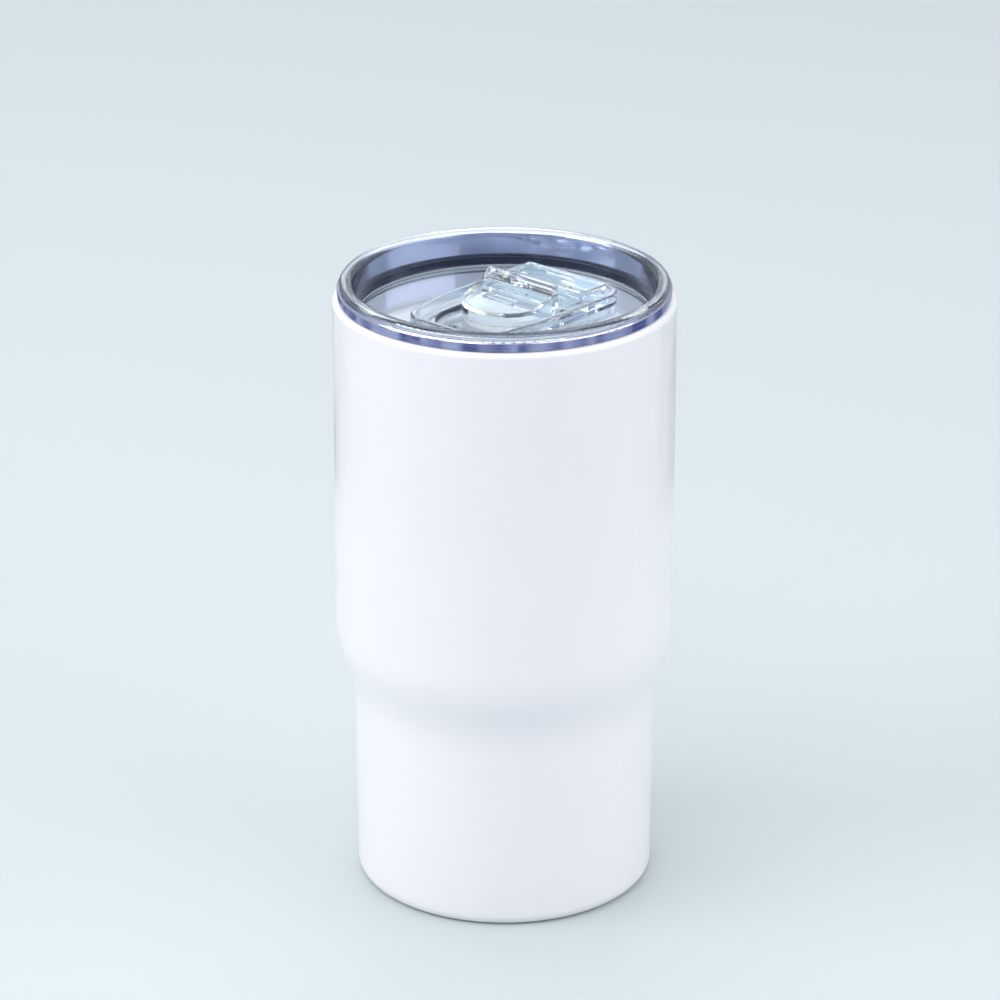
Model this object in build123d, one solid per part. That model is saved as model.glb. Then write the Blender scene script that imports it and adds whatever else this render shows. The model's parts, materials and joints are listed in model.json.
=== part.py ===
"""Insulated tumbler: a double-wall vacuum cup with a clear press-in lid and a sliding closure.

Frame: origin at the centre of the base, +Z up, the drinking side faces -Y. Millimetres.
The lid is modelled pressed home, with the slider in its open place, back from the drinking hole.
"""
from build123d import *
import os

os.makedirs("parts", exist_ok=True)

# ---------------------------------------------------------------- cup body, outside
BODY_R = 42.0            # upper cylinder
LOWER_R = 37.55          # lower cylinder, just below the shoulder
BASE_R = 37.1            # lower cylinder at the base, with its slight draft
BODY_H = 156.1           # top of the bare steel lip
SHOULDER_TOP = 64.2      # where the upper cylinder's line meets the slope's line
SHOULDER_LOW = 51.8      # where the slope's line meets the lower cylinder's line
SHOULDER_ROUND = 26.0    # both turns of the S-shaped shoulder
BASE_ROUND = 3.0
NECK_H = 153.3           # top of the rounded, coated shoulder under the lip
NECK_ROUND = 1.4
NECK_FILLET = 0.2
NECK_R = 40.25           # neck of the outer wall, inside the lip
NECK_TOP = 155.2
MOUTH_LIP_R = 40.8       # bare steel lip, rolled outwards and down over the neck
MOUTH_LIP_ROUND = 0.6
MOUTH_LIP_IN_ROUND = 0.3
MOUTH_LIP_FOOT = 0.2     # above the shoulder
MOUTH_LIP_DEPTH = 4.0    # the lip is drawn from this far below the top

# ---------------------------------------------------------------- walls
SHELL_T = 0.6            # outer wall sheet
LINER_T = 0.5            # inner wall sheet
VACUUM_GAP = 1.9         # between the two walls
LINER_IN = SHELL_T + VACUUM_GAP
FOIL_T = 0.15            # radiation shield wrapped on the liner
MOUTH_R = BODY_R - LINER_IN - LINER_T
BASE_OPEN_R = 32.0       # opening in the bottom of the outer wall
LINER_FLOOR = 6.2        # underside of the inner cup's floor
LINER_CORNER = 8.0
LINER_SEAM = 16.0        # weld between the liner tube and its floor
FOIL_LOW = 20.0
FOIL_HIGH = 140.0

# ---------------------------------------------------------------- base pieces
BASE_PLATE_LOW = 2.2
BASE_PLATE_T = 0.6
PLATE_BEND_IN = 0.4      # bend between the plate and its skirt, inside and outside
PLATE_BEND_OUT = 1.0
DIMPLE_R = 4.6
DIMPLE_RISE = 1.0
EVACUATION_R = 1.0       # hole through which the gap is pumped out
SEAL_SHRINK = 0.2        # the solder glass ends this far above the plate's underside
SEAL_EDGE_ROUND = 0.3
COVER_R = 31.3
COVER_LOW = 1.0
COVER_T = 0.5
COVER_EDGE_ROUND = 0.2
COVER_STEP = 0.25        # the middle of the cover is pressed up by this much
COVER_STEP_R = 22.6
COVER_STEP_RUN = 0.6
BOND_IN = 25.0
BOND_OUT = 28.5
GETTER_X = 15.0
GETTER_R = 5.0
GETTER_H = 1.2
GETTER_CUP_T = 0.25
GETTER_CUP_ROUND = 0.3
GETTER_RIM = 1.2         # flat rim of the holder, spot welded to the inner floor

# ---------------------------------------------------------------- lid
LID_TOP = 157.5
FLANGE_LOW = 156.2       # sits just above the steel lip
FLANGE_R = 40.35
FLANGE_TOP_R = 40.15
FLANGE_TOP_ROUND = 0.85
FLANGE_LOW_ROUND = 0.25
WELL_TOP_R = 36.9
WELL_TOP_ROUND = 1.6
WELL_R = 36.2
WELL_FILLET = 0.6
PLUG_R = 38.4
PLUG_IN = 36.2
PLUG_LOW = 145.3
PLUG_NECK_ROUND = 0.3
PLUG_OUT_ROUND = 0.8
PLUG_IN_ROUND = 0.3
PLUG_ROOT_ROUND = 0.6
DECK = 148.5             # top of the lid's floor
DECK_T = 1.6

# ---------------------------------------------------------------- gasket
GROOVE_R = 37.4
GROOVE_LOW = 147.8
GROOVE_HIGH = 150.2
GASKET_BAND_R = PLUG_R - 0.15
GASKET_LIP_R = 38.72
GASKET_LIP_ROUND = 0.15
GASKET_LIP_IN = 0.35     # from the gasket's end to the tip of its lip
GASKET_LIP_H = 0.5

# ---------------------------------------------------------------- slide track, raised from the lid's floor
TRACK_HALF = 14.8
TRACK_FRONT = 21.5       # distances towards the drinking side, which is -Y
TRACK_REAR = -26.5
TRACK_CORNER = 6.0
TRACK_TAPER = 4.5        # the sides draw in from here to the front
TRACK_TAPER_HALF = 11.8
TRACK_TAPER_ROUND = 30.0
TRACK_FLOOR = 149.0
TRACK_WALL = 1.5
LIP_W = 1.4              # raised lip round the track
LIP_TOP = 151.3
LIP_ROUND = 0.6
TRAVEL = 9.3             # open to closed
HOLE_FRONT_R = 9.3       # drinking hole: a segment of a circle
HOLE_REAR = 11.2
HOLE_CORNER = 2.0

# ---------------------------------------------------------------- slider
SLIDER_GAP = 0.1         # above the track floor
HOOD_REAR = -6.8
HOOD_HALF = 11.3
HOOD_TOP = 156.5
NOSE_CENTRE = -1.05      # centre of the hood's round nose
NOSE_R = 11.1
NOSE_TOP = 152.2
SCOOP_FRONT = 2.5        # where the thumb scoop meets the flat nose
WALL = 1.4
SHOE_HALF = 14.5         # flat shoe that rides on the track's ledges
SHOE_REAR = -24.2
SHOE_CORNER = 4.0
SHOE_TOP = 150.9
BLOCK_HALF = 12.9        # raised rear part of the slider
BLOCK_REAR = -23.8
BLOCK_FRONT = -14.0
BLOCK_TOP = 153.0
BLOCK_CORNER = 1.2
BLOCK_CORNER_IN = 0.6
BLOCK_EDGE_ROUND = 0.5
RIB_PLACES = (-2.8, -0.25, 2.3)
RIB_L = 10.0
RIB_R = 0.5
RIB_RISE = 0.1           # from the scoop's surface to the rib's own axis
WINDOW_IN = 7.2          # windows over the snap legs
WINDOW_FRONT = -14.7
WINDOW_REAR = -16.6
LONG_SLIT = (-4.6, 4.2, -20.8, -21.6)     # low x, high x, front, rear
SHORT_SLIT = (2.4, 6.4, -18.3, -18.9)
LEG_REAR = -17.5
LEG_FRONT = -14.5
LEG_LOW = 145.4
CATCH_REACH = 1.0
CATCH_H = 1.0
CATCH_FRONT = -14.7
CATCH_L = 1.9
SLOT_MARGIN = 0.3        # room round each leg in its slot
SLOT_IN = 0.2
SLOT_OUT = 0.5

SCOOP_RISE = HOOD_TOP - NOSE_TOP
SCOOP_RUN = SCOOP_FRONT - HOOD_REAR
SCOOP_R = (SCOOP_RUN ** 2 + SCOOP_RISE ** 2) / (2 * SCOOP_RISE)

# ---------------------------------------------------------------- trough for the slider's seal
TROUGH_FLOOR = 147.0
TROUGH_T = 1.6
TROUGH_GAP = 0.3
TROUGH_R = NOSE_R + TROUGH_GAP
TROUGH_REAR = NOSE_CENTRE - 0.45
CLOSED_CENTRE = NOSE_CENTRE + TRAVEL
SEAL_R = 10.6
SEAL_LOW = TROUGH_FLOOR + 0.1
SEAL_TOP = 148.6
BOSS_H = 1.0

# ---------------------------------------------------------------- modelling allowances
OVERLAP = 0.5            # joined solids share this much before they become one
PAST = 4.0               # a cut runs this far past what it cuts
FAR = 20.0               # an open-ended wall is drawn this much longer, then trimmed
TOUCH = 0.01             # half-height of the band in which an edge is looked for


def rounded_face(corners):
    """Closed flat outline. Each corner is (x, y, rounding)."""
    points = [(x, y) for x, y, _ in corners]
    return make_face(FilletPolyline(*points, radius=[rounding for _, _, rounding in corners], close=True))


def turned(corners):
    """Solid turned about Z. Each corner is (radius, height, rounding)."""
    return revolve(Plane.XZ * rounded_face(corners), Axis.Z)


def tube(outer, inner, low, high):
    """Plain ring between two radii and two heights."""
    return turned([(inner, low, 0), (outer, low, 0), (outer, high, 0), (inner, high, 0)])


def body_core(depth, bottom, base_round, top_corners):
    """The cup's outside shape as one solid, shrunk by depth on every side."""
    right = [
        (BASE_R, bottom, base_round),
        (LOWER_R, SHOULDER_LOW, SHOULDER_ROUND),
        (BODY_R, SHOULDER_TOP, SHOULDER_ROUND),
        *top_corners,
    ]
    left = [(-r, z, rounding) for r, z, rounding in reversed(right)]
    outline = rounded_face(right + left)
    if depth:
        outline = offset(outline, -depth)
    half = outline & Pos(BODY_R, BODY_H / 2) * Rectangle(2 * BODY_R, 2 * BODY_H)
    return revolve(Plane.XZ * half, Axis.Z)


OPEN_TOP = [(BODY_R, BODY_H + FAR, 0)]
NECKED_TOP = [
    (BODY_R, NECK_H, NECK_ROUND),
    (NECK_R, NECK_H, NECK_FILLET),
    (NECK_R, NECK_TOP, 0),
]


def track_outline(half, front, rear, corner):
    """Rounded rectangle on the XY plane; front and rear are measured towards -Y."""
    length = front - rear
    return Pos(0, -(front + rear) / 2) * RectangleRounded(2 * half, length, corner)


def front_of_disc(radius, centre, rear):
    """The part of a disc in front of a straight line across it, on the XY plane."""
    return Pos(0, -centre) * Circle(radius) & Pos(0, -rear - radius) * Rectangle(4 * radius, 2 * radius)


def nose_outline(radius, centre, rear, half):
    """A straight-sided shape with a half-round front, on the XY plane."""
    corners = [(-half, -rear), (half, -rear), (radius, -centre), (-radius, -centre)]
    return front_of_disc(radius, centre, centre) + make_face(Polyline(*corners, close=True))


def block(x_low, x_high, front, rear, low, high):
    """Box between two x values, two places towards the front, and two heights."""
    size = (x_high - x_low, front - rear, high - low)
    return Pos((x_low + x_high) / 2, -(front + rear) / 2, (low + high) / 2) * Box(*size)


def pillar(outline, low, high):
    """A flat outline raised from one height to another."""
    return Pos(0, 0, low) * extrude(outline, high - low)


def both_sides(shape):
    """A shape together with its mirror image across the slide's own plane."""
    return shape + mirror(shape, Plane.YZ)


def rounded_top(shape, height, radius):
    """Rounds every edge of a shape at one height."""
    edges = shape.edges().filter_by_position(Axis.Z, height - TOUCH, height + TOUCH)
    return fillet(edges, radius)


# ================================================================ cup
def outer_shell():
    """Outer wall: one drawn sheet, from the base hem to the neck inside the lip."""
    outside = body_core(0, 0, BASE_ROUND, NECKED_TOP)
    inside = body_core(SHELL_T, 0, BASE_ROUND, NECKED_TOP)
    mouth = Pos(0, 0, NECK_TOP) * Cylinder(NECK_R - SHELL_T, 2 * SHELL_T)
    opening = Cylinder(BASE_OPEN_R, 2 * PAST)
    return outside - inside - mouth - opening


def inner_wall():
    """The inner cup before it is parted at its weld seam."""
    low = LINER_FLOOR - LINER_IN
    corner = LINER_CORNER + LINER_IN
    outside = body_core(LINER_IN, low, corner, OPEN_TOP)
    inside = body_core(LINER_IN + LINER_T, low, corner, OPEN_TOP)
    return outside - inside


def inner_liner():
    """Inner tube, with the bare lip that is rolled outwards over the outer wall's neck."""
    root = BODY_H - MOUTH_LIP_DEPTH
    foot = NECK_H + MOUTH_LIP_FOOT
    under = BODY_H - LINER_T
    wall = inner_wall() & Pos(0, 0, (LINER_SEAM + root) / 2) * Cylinder(BODY_R, root - LINER_SEAM)
    lip = turned([
        (MOUTH_R, root, 0),
        (MOUTH_R, BODY_H, MOUTH_LIP_ROUND),
        (MOUTH_LIP_R, BODY_H, MOUTH_LIP_ROUND),
        (MOUTH_LIP_R, foot, 0),
        (MOUTH_LIP_R - LINER_T, foot, 0),
        (MOUTH_LIP_R - LINER_T, under, MOUTH_LIP_IN_ROUND),
        (MOUTH_R + LINER_T, under, MOUTH_LIP_IN_ROUND),
        (MOUTH_R + LINER_T, root, 0),
    ])
    return wall + lip


def inner_bottom():
    """Pressed floor of the inner cup, welded to the tube."""
    return inner_wall() & Pos(0, 0, LINER_SEAM / 2) * Cylinder(BODY_R, LINER_SEAM)


def copper_foil():
    """Radiation shield wrapped round the liner inside the vacuum gap."""
    wrap = body_core(LINER_IN - FOIL_T, -FAR, 0, OPEN_TOP) - body_core(LINER_IN, -FAR, 0, OPEN_TOP)
    middle = (FOIL_LOW + FOIL_HIGH) / 2
    return wrap & Pos(0, 0, middle) * Cylinder(BODY_R, FOIL_HIGH - FOIL_LOW)


def outer_base():
    """Pressed plate that closes the outer wall, with a skirt and a dimple for the vacuum seal."""
    high = BASE_PLATE_LOW + BASE_PLATE_T
    plate = turned([
        (0, BASE_PLATE_LOW, 0),
        (BASE_OPEN_R - BASE_PLATE_T, BASE_PLATE_LOW, PLATE_BEND_IN),
        (BASE_OPEN_R - BASE_PLATE_T, 0, 0),
        (BASE_OPEN_R, 0, 0),
        (BASE_OPEN_R, high, PLATE_BEND_OUT),
        (0, high, 0),
    ])
    dimple = Pos(0, 0, high + DIMPLE_RISE / 2) * Cylinder(DIMPLE_R + BASE_PLATE_T, DIMPLE_RISE)
    recess = Pos(0, 0, BASE_PLATE_LOW + DIMPLE_RISE / 2) * Cylinder(DIMPLE_R, DIMPLE_RISE)
    hole = Pos(0, 0, high) * Cylinder(EVACUATION_R, 2 * PAST)
    return plate + dimple - recess - hole


def vacuum_seal():
    """Bead of solder glass that closes the evacuation hole."""
    ceiling = BASE_PLATE_LOW + DIMPLE_RISE
    return turned([
        (0, BASE_PLATE_LOW + SEAL_SHRINK, 0),
        (DIMPLE_R, BASE_PLATE_LOW + SEAL_SHRINK, SEAL_EDGE_ROUND),
        (DIMPLE_R, ceiling, 0),
        (EVACUATION_R, ceiling, 0),
        (EVACUATION_R, ceiling + BASE_PLATE_T, 0),
        (0, ceiling + BASE_PLATE_T, 0),
    ])


def base_cover():
    """Bright disc bonded into the base, over the vacuum seal, with a pressed step."""
    high = COVER_LOW + COVER_T
    inner = COVER_STEP_R - COVER_STEP_RUN
    return turned([
        (0, COVER_LOW + COVER_STEP, 0),
        (inner, COVER_LOW + COVER_STEP, 0),
        (COVER_STEP_R, COVER_LOW, 0),
        (COVER_R, COVER_LOW, COVER_EDGE_ROUND),
        (COVER_R, high, 0),
        (inner, high, 0),
        (inner - COVER_STEP_RUN, high + COVER_STEP, 0),
        (0, high + COVER_STEP, 0),
    ])


def cover_bond():
    """Ring of adhesive between the base plate and its cover."""
    return tube(BOND_OUT, BOND_IN, COVER_LOW + COVER_T, BASE_PLATE_LOW)


def getter_cup():
    """Small pressed holder under the inner floor."""
    low = LINER_FLOOR - GETTER_H - GETTER_CUP_T
    outside = GETTER_R + GETTER_CUP_T
    holder = turned([
        (0, low, 0),
        (outside, low, GETTER_CUP_ROUND),
        (outside, LINER_FLOOR - GETTER_CUP_T, 0),
        (outside + GETTER_RIM, LINER_FLOOR - GETTER_CUP_T, 0),
        (outside + GETTER_RIM, LINER_FLOOR, 0),
        (GETTER_R, LINER_FLOOR, 0),
        (GETTER_R, low + GETTER_CUP_T, 0),
        (0, low + GETTER_CUP_T, 0),
    ])
    window = Pos(0, 0, low) * Cylinder(GETTER_R / 2, 1)
    return Pos(GETTER_X, 0, 0) * (holder - window)


def getter_pellet():
    """Pellet that takes up stray gas and keeps the vacuum."""
    middle = LINER_FLOOR - GETTER_H / 2
    return Pos(GETTER_X, 0, middle) * Cylinder(GETTER_R, GETTER_H)


# ================================================================ lid
def track():
    """Track, its raised lip and the pan below it: (solid to add, solid to cut)."""
    right = [
        (TRACK_HALF, -TRACK_REAR, TRACK_CORNER),
        (TRACK_HALF, -TRACK_TAPER, TRACK_TAPER_ROUND),
        (TRACK_TAPER_HALF, -TRACK_FRONT, TRACK_CORNER),
    ]
    left = [(-x, y, rounding) for x, y, rounding in reversed(right)]
    inside = rounded_face(right + left)
    rim = offset(inside, LIP_W)
    lip = rounded_top(pillar(rim, TRACK_FLOOR - DECK_T, LIP_TOP), LIP_TOP, LIP_ROUND)
    return lip, pillar(inside, TRACK_FLOOR, LIP_TOP + OVERLAP)


def trough():
    """Sunk seat that the slider's seal runs in: (solid to add, solid to cut)."""
    outer = TROUGH_R + TRACK_WALL
    hull = nose_outline(outer, CLOSED_CENTRE, TROUGH_REAR - TRACK_WALL, outer)
    seat = nose_outline(TROUGH_R, CLOSED_CENTRE, TROUGH_REAR, TROUGH_R)
    pan = pillar(hull, TROUGH_FLOOR - TROUGH_T, TRACK_FLOOR - OVERLAP)
    return pan, pillar(seat, TROUGH_FLOOR, TRACK_FLOOR + OVERLAP)


def drinking_hole():
    """Segment-shaped hole through the front of the trough."""
    outline = front_of_disc(HOLE_FRONT_R, CLOSED_CENTRE, HOLE_REAR)
    outline = fillet(outline.vertices(), HOLE_CORNER)
    return pillar(outline, TROUGH_FLOOR - PAST, TROUGH_FLOOR + OVERLAP)


def leg_slots():
    """Two slots in the track floor for the slider's snap legs."""
    front = LEG_FRONT + TRAVEL + SLOT_MARGIN
    rear = LEG_REAR - SLOT_MARGIN
    inner = BLOCK_HALF - WALL - SLOT_IN
    outer = BLOCK_HALF + SLOT_OUT
    return both_sides(block(inner, outer, front, rear, TRACK_FLOOR - PAST, TRACK_FLOOR + OVERLAP))


def lid_body():
    """Clear moulded lid: flange, plug with its gasket groove, well, floor, track and trough."""
    lid = turned([
        (0, DECK - DECK_T, 0),
        (PLUG_IN, DECK - DECK_T, PLUG_ROOT_ROUND),
        (PLUG_IN, PLUG_LOW, PLUG_IN_ROUND),
        (PLUG_R, PLUG_LOW, PLUG_OUT_ROUND),
        (PLUG_R, GROOVE_LOW, 0),
        (GROOVE_R, GROOVE_LOW, 0),
        (GROOVE_R, GROOVE_HIGH, 0),
        (PLUG_R, GROOVE_HIGH, 0),
        (PLUG_R, FLANGE_LOW, PLUG_NECK_ROUND),
        (FLANGE_R, FLANGE_LOW, FLANGE_LOW_ROUND),
        (FLANGE_TOP_R, LID_TOP, FLANGE_TOP_ROUND),
        (WELL_TOP_R, LID_TOP, WELL_TOP_ROUND),
        (WELL_R, DECK, WELL_FILLET),
        (0, DECK, 0),
    ])
    rim, recess = track()
    seat, seat_recess = trough()
    lid = lid + rim + seat
    return lid - recess - seat_recess - drinking_hole() - leg_slots()


def lid_gasket():
    """Silicone ring in the plug's groove, with two soft lips."""
    low_tip = GROOVE_LOW + GASKET_LIP_IN
    high_tip = GROOVE_HIGH - GASKET_LIP_IN
    return turned([
        (GROOVE_R, GROOVE_LOW, 0),
        (GASKET_BAND_R, GROOVE_LOW, 0),
        (GASKET_LIP_R, low_tip, GASKET_LIP_ROUND),
        (GASKET_BAND_R, low_tip + GASKET_LIP_H, 0),
        (GASKET_BAND_R, high_tip - GASKET_LIP_H, 0),
        (GASKET_LIP_R, high_tip, GASKET_LIP_ROUND),
        (GASKET_BAND_R, GROOVE_HIGH, 0),
        (GROOVE_R, GROOVE_HIGH, 0),
    ])


# ================================================================ slider
def scoop(drop):
    """Space above the slider's thumb surface, lowered by drop."""
    reach = SCOOP_R + PAST
    side = Plane.YZ
    flat = side * Pos(-SCOOP_FRONT - reach / 2, NOSE_TOP - drop + reach / 2) * Rectangle(reach, reach)
    bowl = side * Pos(-SCOOP_FRONT, NOSE_TOP - drop + SCOOP_R) * Circle(SCOOP_R)
    return extrude(flat, SHOE_HALF, both=True) + extrude(bowl, SHOE_HALF, both=True)


def hood():
    """Thumb hood: a hollow round nose with a scooped top."""
    low = TRACK_FLOOR + SLIDER_GAP
    outside = pillar(nose_outline(NOSE_R, NOSE_CENTRE, HOOD_REAR, HOOD_HALF), low, HOOD_TOP)
    outside += pillar(front_of_disc(NOSE_R, NOSE_CENTRE, NOSE_CENTRE), SEAL_TOP, low + OVERLAP)
    inside = pillar(hood_inside(), low - PAST, HOOD_TOP - WALL)
    return (outside - scoop(0)) - (inside - scoop(WALL))


def hood_inside():
    """Outline of the hollow under the hood."""
    return nose_outline(NOSE_R - WALL, NOSE_CENTRE, HOOD_REAR + WALL, HOOD_HALF - WALL)


def grip_rib(place):
    """Round-topped rib across the thumb scoop."""
    height = NOSE_TOP + SCOOP_R - (SCOOP_R ** 2 - (SCOOP_FRONT - place) ** 2) ** 0.5
    end = RIB_L / 2 - RIB_R
    bar = Rot(0, 90, 0) * Cylinder(RIB_R, 2 * end)
    return Pos(0, -place, height + RIB_RISE) * (bar + both_sides(Pos(end, 0, 0) * Sphere(RIB_R)))


def snap_leg():
    """Leg with an inward catch that holds the slider down through the track floor."""
    inner = BLOCK_HALF - WALL
    root = TRACK_FLOOR + SLIDER_GAP + OVERLAP
    leg = block(inner, BLOCK_HALF, LEG_FRONT, LEG_REAR, LEG_LOW, root)
    reach = inner - CATCH_REACH
    catch = block(reach, inner, CATCH_FRONT, CATCH_FRONT - CATCH_L, LEG_LOW, LEG_LOW + CATCH_H)
    return leg + catch


def rear_block():
    """Raised rear part of the slider, hollow below."""
    low = TRACK_FLOOR + SLIDER_GAP
    outside = pillar(track_outline(BLOCK_HALF, BLOCK_FRONT, BLOCK_REAR, BLOCK_CORNER), low, BLOCK_TOP)
    outside = rounded_top(outside, BLOCK_TOP, BLOCK_EDGE_ROUND)
    room = track_outline(BLOCK_HALF - WALL, BLOCK_FRONT - WALL, BLOCK_REAR + WALL, BLOCK_CORNER_IN)
    return outside, pillar(room, low - PAST, BLOCK_TOP - WALL)


def slider():
    """Clear sliding closure: shoe, raised rear block, thumb hood with grip ribs, and snap legs."""
    low = TRACK_FLOOR + SLIDER_GAP
    shoe = pillar(track_outline(SHOE_HALF, HOOD_REAR + WALL, SHOE_REAR, SHOE_CORNER), low, SHOE_TOP)
    raised, room = rear_block()
    nose_space = pillar(hood_inside(), low - PAST, SHOE_TOP + PAST)
    body = shoe + raised - room - nose_space + hood()
    for place in RIB_PLACES:
        body += grip_rib(place)
    body += both_sides(snap_leg())
    roof = (BLOCK_TOP - WALL - OVERLAP, BLOCK_TOP + OVERLAP)
    body -= both_sides(block(WINDOW_IN, BLOCK_HALF - WALL, WINDOW_FRONT, WINDOW_REAR, *roof))
    return body - block(*LONG_SLIT, *roof) - block(*SHORT_SLIT, *roof)


def slider_seal():
    """Silicone pad under the nose, with a boss that presses up into the hollow nose."""
    pad = front_of_disc(SEAL_R, NOSE_CENTRE, NOSE_CENTRE)
    boss = front_of_disc(NOSE_R - WALL, NOSE_CENTRE, NOSE_CENTRE)
    return pillar(pad, SEAL_LOW, SEAL_TOP) + pillar(boss, SEAL_TOP, SEAL_TOP + BOSS_H)


PIECES = {
    "outer_shell": outer_shell,
    "outer_base": outer_base,
    "base_cover": base_cover,
    "cover_bond": cover_bond,
    "vacuum_seal": vacuum_seal,
    "inner_liner": inner_liner,
    "inner_bottom": inner_bottom,
    "copper_foil": copper_foil,
    "getter_cup": getter_cup,
    "getter_pellet": getter_pellet,
    "lid_body": lid_body,
    "lid_gasket": lid_gasket,
    "slider": slider,
    "slider_seal": slider_seal,
}

for name, make in PIECES.items():
    export_step(make(), f"parts/{name}.step")
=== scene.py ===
"""Looks of the insulated tumbler with its clear sliding lid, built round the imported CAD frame."""
import json
import math

import bpy
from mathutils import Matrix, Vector

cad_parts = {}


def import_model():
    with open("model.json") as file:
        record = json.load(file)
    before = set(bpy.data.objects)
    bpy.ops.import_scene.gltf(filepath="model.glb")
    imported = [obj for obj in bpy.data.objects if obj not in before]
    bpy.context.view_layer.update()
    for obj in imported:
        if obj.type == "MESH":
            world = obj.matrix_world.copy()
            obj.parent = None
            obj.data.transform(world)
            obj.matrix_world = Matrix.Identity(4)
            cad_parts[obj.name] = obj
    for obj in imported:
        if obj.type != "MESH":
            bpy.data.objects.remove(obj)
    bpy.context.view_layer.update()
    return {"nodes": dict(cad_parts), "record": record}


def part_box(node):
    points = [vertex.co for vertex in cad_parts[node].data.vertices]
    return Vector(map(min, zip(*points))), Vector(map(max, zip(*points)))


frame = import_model()

# ---------------------------------------------------------------- camera, floor and light, in metres
CAMERA_AZIMUTH = math.radians(42.0)      # from -Y towards +X
CAMERA_REACH = 1.0314
CAMERA_HEIGHT = 0.5216
CAMERA_PITCH = math.radians(22.26)
CAMERA_ASIDE = -0.0011
CAMERA_LENS = 162.0
CAMERA_SENSOR = 36.0
FLOOR_RADIUS = 2.2
RING_STEPS = 48
ROOM_STRENGTH = 0.62
BACKDROP = (0.96, 1.10, 1.15)            # what the camera sees past the floor
SLATE_START = 0.6                        # cosines of the angle from the camera's side
SLATE_FULL = 0.85
CEILING_START = 0.5                      # cosines of the angle from straight up
CEILING_FULL = 0.75
WINDOW_RISE = math.radians(22.0)         # the lid's floor mirrors this part of the room to the camera
WINDOW_EDGE = 0.955                      # cosines of the angle from the window's middle
WINDOW_FULL = 0.99
FLAG_IN = 0.27                           # dark card that only reflections see
FLAG_OUT = 0.9
FLAG_HIGH = 0.002
MOST_BOUNCES = 24                        # clear plastic in a polished steel mouth needs long light paths
GLOSSY_BOUNCES = 16

# ---------------------------------------------------------------- the object, in metres
LIP_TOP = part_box("inner_liner")[1].z
POLISH_START = LIP_TOP - 0.009           # the liner is satin below this height
POLISH_FULL = LIP_TOP - 0.006            # and polished above this one
SATIN_METAL = 0.55
POLISH_SHINE = 0.28                      # how much less rough the polish is than the satin
GASKET_SQUEEZE = 0.00006                 # wets the groove, so that no air shows round the silicone

TOWARDS_CAMERA = Vector((math.sin(CAMERA_AZIMUTH), -math.cos(CAMERA_AZIMUTH), 0.0))
IMAGE_RIGHT = Vector((math.cos(CAMERA_AZIMUTH), math.sin(CAMERA_AZIMUTH), 0.0))
UP = Vector((0.0, 0.0, 1.0))
LIGHT_AIM = Vector((0.0, 0.0, 0.08))


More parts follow.
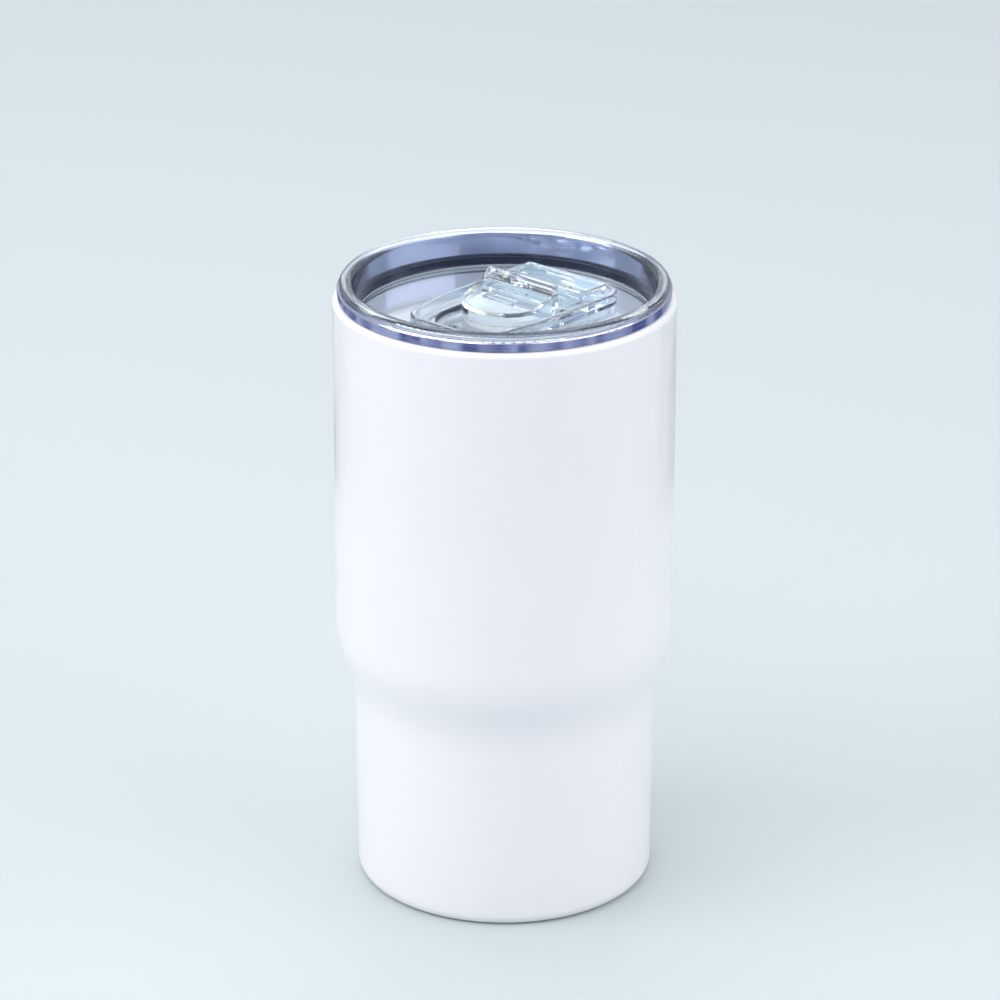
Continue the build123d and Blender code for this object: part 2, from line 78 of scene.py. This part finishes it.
# ================================================================ shader helpers
class Shader:
    """A material with one Principled shader, and short calls that add nodes to it."""

    def __init__(self, name, **sockets):
        self.material = bpy.data.materials.new(name)
        self.material.use_nodes = True
        self.nodes = self.material.node_tree.nodes
        self.links = self.material.node_tree.links
        self.principled = self.nodes["Principled BSDF"]
        self.output = self.nodes["Material Output"]
        for socket, value in sockets.items():
            self.principled.inputs[socket.replace("_", " ")].default_value = value

    def add(self, kind, **settings):
        node = self.nodes.new(kind)
        for name, value in settings.items():
            setattr(node, name, value)
        return node

    def place(self):
        """Position on the object, in metres."""
        return self.add("ShaderNodeTexCoord").outputs["Object"]

    def stretched(self, scale):
        """Position with each axis scaled on its own."""
        mapping = self.add("ShaderNodeMapping")
        mapping.inputs["Scale"].default_value = scale
        self.links.new(self.place(), mapping.inputs["Vector"])
        return mapping.outputs["Vector"]

    def turned(self, radial, upright, around):
        """Position as distance from the axis, height and turn, each scaled: rings on anything turned."""
        split = self.add("ShaderNodeSeparateXYZ")
        self.links.new(self.place(), split.inputs[0])
        east, north, high = split.outputs
        squares = self.math("ADD", self.math("MULTIPLY", east, east), self.math("MULTIPLY", north, north))
        radius = self.math("SQRT", squares)
        angle = self.math("ARCTAN2", north, east)
        join = self.add("ShaderNodeCombineXYZ")
        self.links.new(self.math("MULTIPLY", radius, radial), join.inputs[0])
        self.links.new(self.math("MULTIPLY", high, upright), join.inputs[1])
        self.links.new(self.math("MULTIPLY", self.math("COSINE", angle), around), join.inputs[2])
        return join.outputs[0]

    def math(self, operation, *values):
        node = self.add("ShaderNodeMath", operation=operation)
        for socket, value in zip(node.inputs, values):
            if isinstance(value, (int, float)):
                socket.default_value = value
            else:
                self.links.new(value, socket)
        return node.outputs[0]

    def noise(self, vector, scale, detail=3.0, rough=0.5):
        node = self.add("ShaderNodeTexNoise")
        node.inputs["Scale"].default_value = scale
        node.inputs["Detail"].default_value = detail
        node.inputs["Roughness"].default_value = rough
        self.links.new(vector, node.inputs["Vector"])
        return node.outputs["Fac"]

    def spread(self, value, low, high, start=0.3, end=0.7):
        """Value between start and end becomes low to high."""
        node = self.add("ShaderNodeMapRange", interpolation_type="SMOOTHSTEP")
        self.links.new(value, node.inputs["Value"])
        for socket, number in (("From Min", start), ("From Max", end), ("To Min", low), ("To Max", high)):
            node.inputs[socket].default_value = number
        return node.outputs["Result"]

    def blend(self, value, first, second):
        """Colour between two colours."""
        node = self.add("ShaderNodeMix", data_type="RGBA")
        self.links.new(value, node.inputs[0])
        for socket, colour in ((6, first), (7, second)):
            if isinstance(colour, tuple):
                node.inputs[socket].default_value = (*colour, 1.0)
            else:
                self.links.new(colour, node.inputs[socket])
        return node.outputs[2]

    def bump(self, height, strength, distance):
        node = self.add("ShaderNodeBump")
        node.inputs["Strength"].default_value = strength
        node.inputs["Distance"].default_value = distance
        self.links.new(height, node.inputs["Height"])
        self.links.new(node.outputs["Normal"], self.principled.inputs["Normal"])

    def colour(self, value):
        self.links.new(value, self.principled.inputs["Base Color"])

    def roughness(self, value):
        self.links.new(value, self.principled.inputs["Roughness"])

    def metallic(self, value):
        self.links.new(value, self.principled.inputs["Metallic"])

    def lets_lamps_through(self, tint):
        """Shadow rays pass, so that light gets inside clear walls."""
        path = self.add("ShaderNodeLightPath")
        through = self.add("ShaderNodeBsdfTransparent")
        through.inputs["Color"].default_value = (*tint, 1.0)
        mix = self.add("ShaderNodeMixShader")
        self.links.new(path.outputs["Is Shadow Ray"], mix.inputs[0])
        self.links.new(self.principled.outputs[0], mix.inputs[1])
        self.links.new(through.outputs[0], mix.inputs[2])
        self.links.new(mix.outputs[0], self.output.inputs["Surface"])


# ================================================================ materials
def white_coating():
    """Glossy white polymer coat with a trace of orange peel."""
    made = Shader("white_coating", IOR=1.5, Coat_Weight=0.35, Coat_Roughness=0.12)
    cloud = made.noise(made.place(), 35.0)
    made.colour(made.blend(cloud, (0.885, 0.865, 0.88), (0.91, 0.89, 0.905)))
    made.roughness(made.spread(made.noise(made.place(), 160.0), 0.30, 0.40))
    made.bump(made.noise(made.place(), 700.0, 2.0), 0.06, 0.0002)
    return made.material


def turned_steel(name, light, dark, ring_scale, rough):
    """Steel with fine turned rings and faint clouding."""
    made = Shader(name, Metallic=1.0)
    rings = made.noise(made.turned(ring_scale, ring_scale, 3.0), 1.0, 4.0)
    cloud = made.noise(made.place(), 60.0)
    made.colour(made.blend(made.math("MULTIPLY", rings, cloud), dark, light))
    made.roughness(made.spread(rings, rough * 0.8, rough * 1.25))
    made.bump(rings, 0.12, 0.00005)
    return made.material


def liner_steel():
    """Bright satin inside the cup, polished at the mouth and over the rolled lip, where the colour also
    turns darker and lavender blue: a painted reflection of blue surroundings, not the steel's own colour.
    """
    made = Shader("liner_steel")
    rings = made.noise(made.turned(1200.0, 1200.0, 3.0), 1.0, 4.0)
    satin = made.blend(rings, (0.79, 0.81, 0.87), (0.87, 0.89, 0.93))
    # darker lavender-blue colour at the mouth: painted reflection of blue surroundings on the polished
    # steel
    mouth_painted_reflection = made.blend(made.noise(made.place(), 60.0), (0.60, 0.59, 0.80), (0.74, 0.72, 0.92))
    split = made.add("ShaderNodeSeparateXYZ")
    made.links.new(made.place(), split.inputs[0])
    mouth = made.spread(split.outputs[2], 0.0, 1.0, POLISH_START, POLISH_FULL)
    made.colour(made.blend(mouth, satin, mouth_painted_reflection))
    made.metallic(made.math("MULTIPLY_ADD", mouth, 1.0 - SATIN_METAL, SATIN_METAL))
    satin_rough = made.spread(rings, 0.34, 0.44)
    made.roughness(made.math("MULTIPLY_ADD", mouth, -POLISH_SHINE, satin_rough))
    made.bump(rings, 0.04, 0.00004)
    return made.material


def foil():
    """Bright foil with creases."""
    made = Shader("copper", Metallic=1.0)
    creases = made.noise(made.stretched((60.0, 60.0, 20.0)), 4.0, 5.0)
    made.colour(made.blend(creases, (0.80, 0.40, 0.24), (0.92, 0.58, 0.42)))
    made.roughness(made.spread(creases, 0.16, 0.34))
    made.bump(creases, 0.3, 0.0002)
    return made.material


def matt(name, light, dark, scale, rough, depth, **sockets):
    """Dull material with grain: adhesive, sintered pellet, silicone."""
    made = Shader(name, **sockets)
    grain = made.noise(made.place(), scale, 4.0)
    made.colour(made.blend(grain, dark, light))
    made.roughness(made.spread(grain, rough * 0.85, rough * 1.15))
    made.bump(made.noise(made.place(), scale * 2.0), 0.2, depth)
    return made.material


def clear_plastic():
    """Clear moulded copolyester, faintly blue, with a trace of flow in its surface; its reflections are
    tinted blue, a painted reflection colour.
    """
    # Specular_Tint colours all reflections blue: painted reflection colour standing in for blue
    # surroundings
    made = Shader("clear_plastic", IOR=1.55, Roughness=0.0, Transmission_Weight=0.99,
                  Specular_Tint=(0.6, 0.74, 1.0, 1.0))
    flow = made.noise(made.place(), 55.0, 2.0)
    made.colour(made.blend(flow, (0.86, 0.935, 0.98), (0.93, 0.97, 0.99)))
    made.bump(flow, 0.03, 0.0004)
    made.lets_lamps_through((0.985, 0.99, 1.0))
    return made.material


def clear_silicone():
    """Milky see-through silicone."""
    made = Shader("clear_silicone", IOR=1.41, Roughness=0.28, Transmission_Weight=0.8)
    cloud = made.noise(made.place(), 240.0)
    made.colour(made.blend(cloud, (0.86, 0.89, 0.91), (0.93, 0.95, 0.96)))
    made.bump(made.noise(made.place(), 1500.0), 0.1, 0.0001)
    made.lets_lamps_through((0.8, 0.83, 0.85))
    return made.material


MATERIALS = {
    "white_coating": white_coating(),
    "sheet_steel": turned_steel("sheet_steel", (0.66, 0.66, 0.68), (0.42, 0.42, 0.44), 1400.0, 0.34),
    "bright_steel": turned_steel("bright_steel", (0.78, 0.78, 0.80), (0.52, 0.52, 0.54), 2600.0, 0.22),
    "liner_steel": liner_steel(),
    "copper": foil(),
    "adhesive": matt("adhesive", (0.78, 0.77, 0.73), (0.62, 0.61, 0.57), 900.0, 0.6, 0.0002),
    "solder_glass": matt("solder_glass", (0.13, 0.13, 0.15), (0.05, 0.05, 0.06), 700.0, 0.16, 0.0001),
    "getter_alloy": matt("getter_alloy", (0.2, 0.19, 0.18), (0.09, 0.085, 0.08), 2600.0, 0.85, 0.0002),
    "clear_plastic": clear_plastic(),
    "gasket_silicone": matt("gasket_silicone", (0.008, 0.014, 0.035), (0.004, 0.007, 0.02),
                            1200.0, 0.5, 0.00006, Specular_IOR_Level=0.15),
    "clear_silicone": clear_silicone(),
}


def dress_cad_nodes():
    """Every CAD node gets the finished material of its own record slot."""
    for subpart in frame["record"]["subparts"]:
        node = frame["nodes"][subpart["node"]]
        for place in node.material_slots:
            place.material = MATERIALS[subpart["material_slot"]]
    squeeze = frame["nodes"]["lid_gasket"].modifiers.new("squeeze", "DISPLACE")
    squeeze.mid_level = 0.0
    squeeze.strength = GASKET_SQUEEZE


# ================================================================ stage
def floor_material():
    """Plain pale floor with the faintest clouding."""
    made = Shader("floor", Roughness=0.9, Specular_IOR_Level=0.0)
    made.colour(made.blend(made.noise(made.place(), 1.2), (0.56, 0.62, 0.64), (0.60, 0.66, 0.68)))
    return made.material


def ring(name, inner, outer, high, material):
    """Flat ring or disc round the object, part of the stage."""
    turns = [2 * math.pi * step / RING_STEPS for step in range(RING_STEPS)]
    corners = [(radius * math.cos(turn), radius * math.sin(turn), high)
               for radius in (inner, outer) for turn in turns]
    faces = [(step, RING_STEPS + step, RING_STEPS + (step + 1) % RING_STEPS, (step + 1) % RING_STEPS)
             for step in range(RING_STEPS)]
    mesh = bpy.data.meshes.new(name)
    mesh.from_pydata(corners, [], faces)
    mesh.materials.append(material)
    made = bpy.data.objects.new(name, mesh)
    bpy.context.scene.collection.objects.link(made)
    return made


def flag():
    """Dark card lying round the object, seen in reflections only: it gives polished parts dark bands."""
    dark = Shader("flag", Roughness=0.8)
    patches = dark.noise(dark.stretched((9.0, 9.0, 1.0)), 1.0, 1.0)
    lighter = dark.spread(patches, 0.0, 1.0, 0.42, 0.58)
    dark.colour(dark.blend(lighter, (0.03, 0.05, 0.16), (0.30, 0.38, 0.46)))
    card = ring("flag", FLAG_IN, FLAG_OUT, FLAG_HIGH, dark.material)
    card.visible_camera = False
    card.visible_diffuse = False
    card.visible_shadow = False
    card.visible_transmission = False


def soft_box(name, aside, near, high, size, power, colour):
    """Area light placed as the camera sees it, aimed at the object: metres, watts."""
    light = bpy.data.lights.new(name, "AREA")
    light.shape = "RECTANGLE"
    light.size, light.size_y = size
    light.energy = power
    light.color = colour
    made = bpy.data.objects.new(name, light)
    made.location = IMAGE_RIGHT * aside + TOWARDS_CAMERA * near + UP * high
    made.rotation_euler = (made.location - LIGHT_AIM).to_track_quat("Z", "Y").to_euler()
    bpy.context.scene.collection.objects.link(made)


def lights():
    """Strong from the left, softer from above and in front, and a wide one from the right."""
    soft_box("key", -1.5, 0.5, 1.0, (1.4, 1.6), 16.0, (1.0, 0.985, 0.985))
    soft_box("top", -0.1, -0.4, 1.6, (1.2, 1.2), 7.5, (0.97, 0.98, 1.0))
    soft_box("front", -0.3, 0.9, 1.4, (0.7, 0.7), 4.0, (1.0, 0.99, 1.0))
    soft_box("fill", 1.5, 0.6, 0.75, (2.0, 1.4), 12.0, (0.98, 0.97, 1.0))


class Room:
    """World shader: colours by direction."""

    def __init__(self, strength):
        self.world = bpy.data.worlds.new("room")
        self.world.use_nodes = True
        self.nodes = self.world.node_tree.nodes
        self.links = self.world.node_tree.links
        self.direction = self.nodes.new("ShaderNodeTexCoord").outputs["Generated"]
        self.nodes["Background"].inputs["Strength"].default_value = strength
        bpy.context.scene.world = self.world

    def along(self, axis):
        """How far a direction points along an axis, from -1 to 1."""
        node = self.nodes.new("ShaderNodeVectorMath")
        node.operation = "DOT_PRODUCT"
        node.inputs[1].default_value = axis
        self.links.new(self.direction, node.inputs[0])
        return node.outputs["Value"]

    def patches(self, scale):
        stretch = self.nodes.new("ShaderNodeMapping")
        stretch.inputs["Scale"].default_value = scale
        self.links.new(self.direction, stretch.inputs["Vector"])
        node = self.nodes.new("ShaderNodeTexNoise")
        node.inputs["Scale"].default_value = 1.0
        node.inputs["Detail"].default_value = 1.0
        self.links.new(stretch.outputs["Vector"], node.inputs["Vector"])
        return node.outputs["Fac"]

    def mixed(self, value, start, end, first, second):
        """Colour that turns from first to second as a value goes from start to end."""
        reach = self.nodes.new("ShaderNodeMapRange")
        reach.interpolation_type = "SMOOTHSTEP"
        reach.inputs["From Min"].default_value = start
        reach.inputs["From Max"].default_value = end
        self.links.new(value, reach.inputs["Value"])
        mix = self.nodes.new("ShaderNodeMix")
        mix.data_type = "RGBA"
        self.links.new(reach.outputs["Result"], mix.inputs[0])
        for socket, colour in ((6, first), (7, second)):
            if isinstance(colour, tuple):
                mix.inputs[socket].default_value = (*colour, 1.0)
            else:
                self.links.new(colour, mix.inputs[socket])
        return mix.outputs[2]

    def show(self, colour, backdrop):
        """Lights and reflects with one colour; the camera sees a plain backdrop past the floor."""
        seen = self.nodes.new("ShaderNodeLightPath").outputs["Is Camera Ray"]
        shown = self.mixed(seen, 0.0, 1.0, colour, backdrop)
        self.links.new(shown, self.nodes["Background"].inputs["Color"])


def world():
    """Pale walls, a slate patch on the camera's side, a white ceiling and a bright window low behind."""
    room = Room(ROOM_STRENGTH)
    slate = room.mixed(room.patches((2.6, 2.6, 2.6)), 0.45, 0.55, (0.02, 0.04, 0.20), (0.55, 0.60, 0.85))
    walls = room.mixed(room.along(TOWARDS_CAMERA), SLATE_START, SLATE_FULL, (0.84, 0.90, 0.92), slate)
    upper = room.mixed(room.along(UP), CEILING_START, CEILING_FULL, walls, (1.3, 1.31, 1.34))
    panes = room.mixed(room.patches((28.0, 28.0, 60.0)), 0.42, 0.58, (1.0, 1.25, 1.3), (2.8, 2.9, 3.0))
    window = UP * math.sin(WINDOW_RISE) - TOWARDS_CAMERA * math.cos(WINDOW_RISE)
    room.show(room.mixed(room.along(window), WINDOW_EDGE, WINDOW_FULL, upper, panes), BACKDROP)


def camera():
    """Long lens, looking down at the object."""
    lens = bpy.data.cameras.new("camera")
    lens.lens = CAMERA_LENS
    lens.sensor_width = CAMERA_SENSOR
    made = bpy.data.objects.new("camera", lens)
    made.location = TOWARDS_CAMERA * CAMERA_REACH + IMAGE_RIGHT * CAMERA_ASIDE + UP * CAMERA_HEIGHT
    made.rotation_euler = (math.pi / 2 - CAMERA_PITCH, 0.0, CAMERA_AZIMUTH)
    bpy.context.scene.collection.objects.link(made)
    bpy.context.scene.camera = made


dress_cad_nodes()
ring("floor", 0.0, FLOOR_RADIUS, 0.0, floor_material())
flag()
lights()
world()
camera()
bpy.context.scene.view_settings.view_transform = "Standard"
bpy.context.scene.cycles.max_bounces = MOST_BOUNCES
bpy.context.scene.cycles.glossy_bounces = GLOSSY_BOUNCES
bpy.context.scene.cycles.transmission_bounces = MOST_BOUNCES
